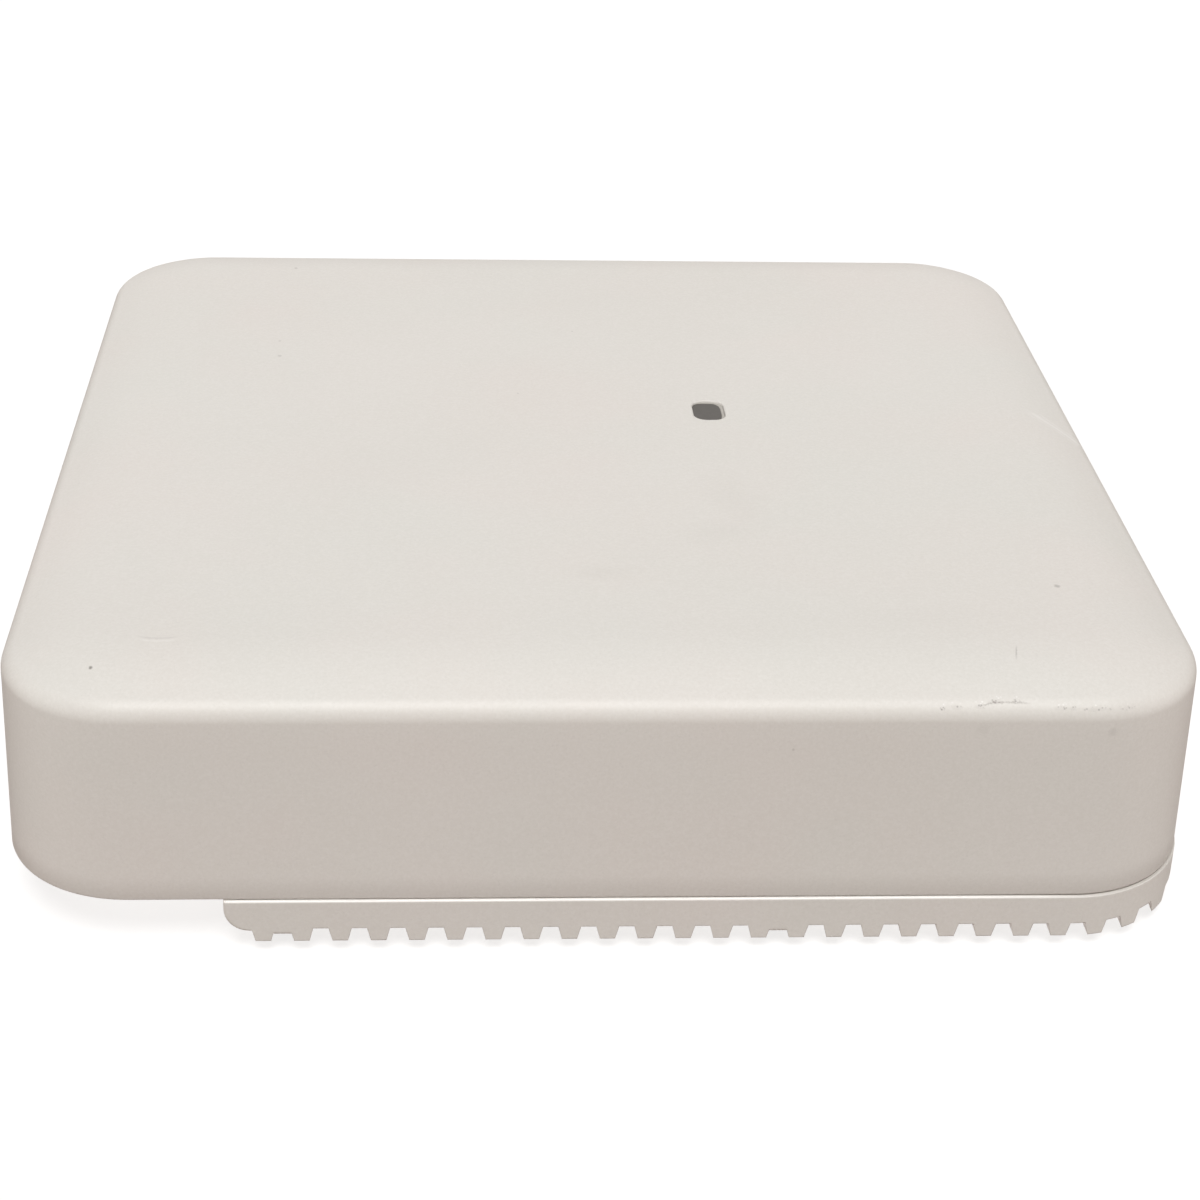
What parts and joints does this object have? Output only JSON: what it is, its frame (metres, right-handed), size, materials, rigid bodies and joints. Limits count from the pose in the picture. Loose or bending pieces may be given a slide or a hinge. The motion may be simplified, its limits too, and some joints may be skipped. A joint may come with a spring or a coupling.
{
  "type": "ceiling access point",
  "caption": "Square ceiling wireless access point: rounded plastic cover with a small status window on a finned die-cast base with mushroom mounting studs and a cable recess.",
  "frame": {"origin": "centre of the four-stud mounting pattern, on the studs' outer faces (mounting plane)", "axes": "+Z out of the cover's face (downwards when hung from a ceiling); +X from the cable recess towards the plain side; -Y the front"},
  "size_m": [0.22, 0.2206, 0.0551],
  "materials": {
    "cover_plastic": "satin",
    "base_casting": "satin powder coat",
    "stud_steel": "satin",
    "screw_steel": "dark zinc",
    "label_film": "matt",
    "board_laminate": "satin",
    "chip_black": "matt",
    "chip_lid": "matt nickel",
    "shield_tin": "tin plate",
    "thermal_pad": "matt",
    "jack_shield": "satin",
    "jack_black": "matt",
    "contact_gold": "polished",
    "usb_tongue": "matt",
    "button_plastic": "matt",
    "dome_steel": "polished",
    "ferrite": "matt",
    "can_aluminium": "satin",
    "led_white": "gloss",
    "smoked_lens": "gloss",
    "brass_plated": "satin nickel",
    "deck_aluminium": "satin",
    "antenna_tin": "tin plate",
    "support_plastic": "matt",
    "cable_jacket": "satin"
  },
  "bodies": {
    "unit": {"top_cover": "cover_plastic", "heatsink_base": "base_casting", "mounting_studs": "stud_steel", "cover_screws": "screw_steel", "rating_label": "label_film", "board_screws": "stud_steel", "main_board": "board_laminate", "processor_chip": "chip_lid", "memory_chips": "chip_black", "flash_chip": "chip_black", "radio_chips": "chip_black", "shield_frames": "shield_tin", "shield_lids": "shield_tin", "radio_thermal_pads": "thermal_pad", "heatsink_thermal_pads": "thermal_pad", "network_jack_shells": "jack_shield", "network_jack_inserts": "jack_black", "network_jack_contacts": "contact_gold", "usb_jack_shell": "jack_shield", "usb_jack_tongue": "usb_tongue", "power_jack_body": "jack_black", "power_jack_pin": "stud_steel", "mode_switch_body": "jack_black", "mode_switch_dome": "dome_steel", "ethernet_transformers": "chip_black", "power_transformer": "ferrite", "power_inductors": "ferrite", "power_capacitors": "can_aluminium", "status_led": "led_white", "status_light_pipe": "smoked_lens", "antenna_standoffs": "brass_plated", "antenna_plate": "deck_aluminium", "plate_screws": "stud_steel", "macro_antennas": "antenna_tin", "micro_antennas": "antenna_tin", "antenna_supports": "support_plastic", "rf_sockets": "contact_gold", "antenna_cables": "cable_jacket"},
    "mode_button_plunger": {"mode_button": "button_plastic"}
  },
  "joints": [
    {"name": "mode_button_press", "type": "slide", "parent": "unit", "child": "mode_button_plunger", "axis": [1, 0, 0], "range_m": [0, 0.00035], "stiffness_N_per_m": 4000, "deforming": ["mode_switch_dome"]}
  ]
}
